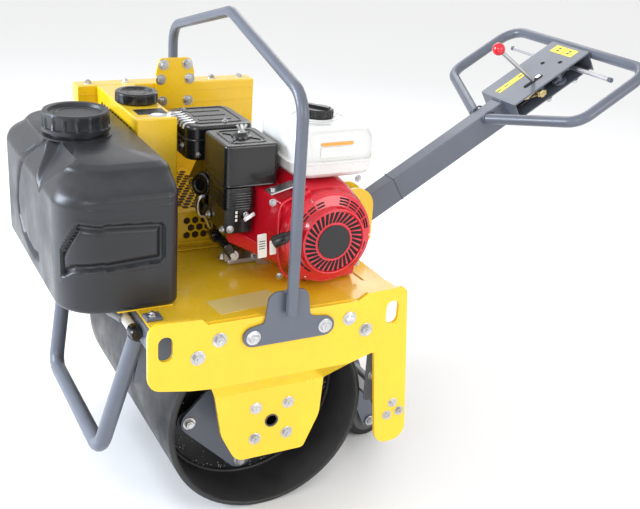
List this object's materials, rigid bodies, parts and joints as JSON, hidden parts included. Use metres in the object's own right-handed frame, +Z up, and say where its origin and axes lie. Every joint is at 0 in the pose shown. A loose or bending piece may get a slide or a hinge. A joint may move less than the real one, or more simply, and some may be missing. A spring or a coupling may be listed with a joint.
{
  "type": "single-drum walk-behind road roller",
  "caption": "Walk-behind vibratory roller: one smooth steel drum in a bolted frame under an engine and tanks, a lifting hoop, a rear support roller and a folding T handle.",
  "frame": {"origin": "on the floor under the middle of the outer box", "axes": "+X to the machine's front, +Y to its left, +Z up"},
  "size_m": [1.3292, 0.7386, 0.9921],
  "materials": {
    "yellow_paint": "gloss",
    "grey_paint": "satin",
    "drum_black": "satin",
    "black_rubber": "matte",
    "cast_iron": "rough",
    "black_plastic": "matte",
    "black_cover": "satin",
    "red_paint": "gloss",
    "white_paint": "gloss",
    "alloy": "satin"
  },
  "bodies": {
    "frame": {"side_plate_left": "yellow_paint", "side_plate_right": "yellow_paint", "axle_left": "cast_iron", "axle_right": "cast_iron", "deck_plate": "yellow_paint", "front_bar": "grey_paint", "rear_beam": "yellow_paint", "spray_pipe": "white_paint", "front_guard": "grey_paint", "guard_gusset_left": "grey_paint", "guard_gusset_right": "grey_paint", "lifting_hoop": "grey_paint", "hoop_bracket_left": "grey_paint", "hoop_bracket_right": "yellow_paint", "belt_guard": "yellow_paint", "oil_tank": "yellow_paint", "oil_cap": "black_cover", "pump_guard": "yellow_paint", "water_tank": "black_plastic", "water_cap": "black_plastic", "tank_shelf": "yellow_paint", "engine_block": "alloy", "cylinder": "alloy", "fan_cover": "red_paint", "recoil_starter": "red_paint", "fuel_tank": "white_paint", "fuel_cap": "black_cover", "air_cleaner": "black_cover", "cleaner_duct": "black_cover", "muffler": "black_cover", "scraper_blade": "grey_paint", "scraper_hanger_left": "grey_paint", "scraper_hanger_right": "grey_paint", "support_bracket": "grey_paint", "handle_bracket": "yellow_paint", "handle_pin": "alloy"},
    "drum": {"drum_shell": "drum_black", "drum_web_left": "drum_black", "drum_web_right": "drum_black", "drive_plate_left": "grey_paint", "drive_plate_right": "grey_paint", "drum_hub_left": "cast_iron", "drum_hub_right": "cast_iron"},
    "roller": {"support_roller": "black_rubber"},
    "handle": {"handle_beam": "grey_paint", "console": "grey_paint", "handle_loop": "grey_paint", "control_lever": "alloy", "lever_knob": "red_paint", "travel_rod": "alloy"}
  },
  "joints": [
    {"name": "drum_spin", "type": "hinge", "parent": "frame", "child": "drum", "pos_m": [0.2646, -0.0143, 0.2125], "axis": [0, 1, 0], "continuous": true},
    {"name": "roller_spin", "type": "hinge", "parent": "frame", "child": "roller", "pos_m": [-0.0654, -0.0143, 0.05], "axis": [0, 1, 0], "continuous": true},
    {"name": "handle_fold", "type": "hinge", "parent": "frame", "child": "handle", "pos_m": [-0.0534, -0.0143, 0.52], "axis": [0, 1, 0], "range_deg": [0, 60]}
  ]
}
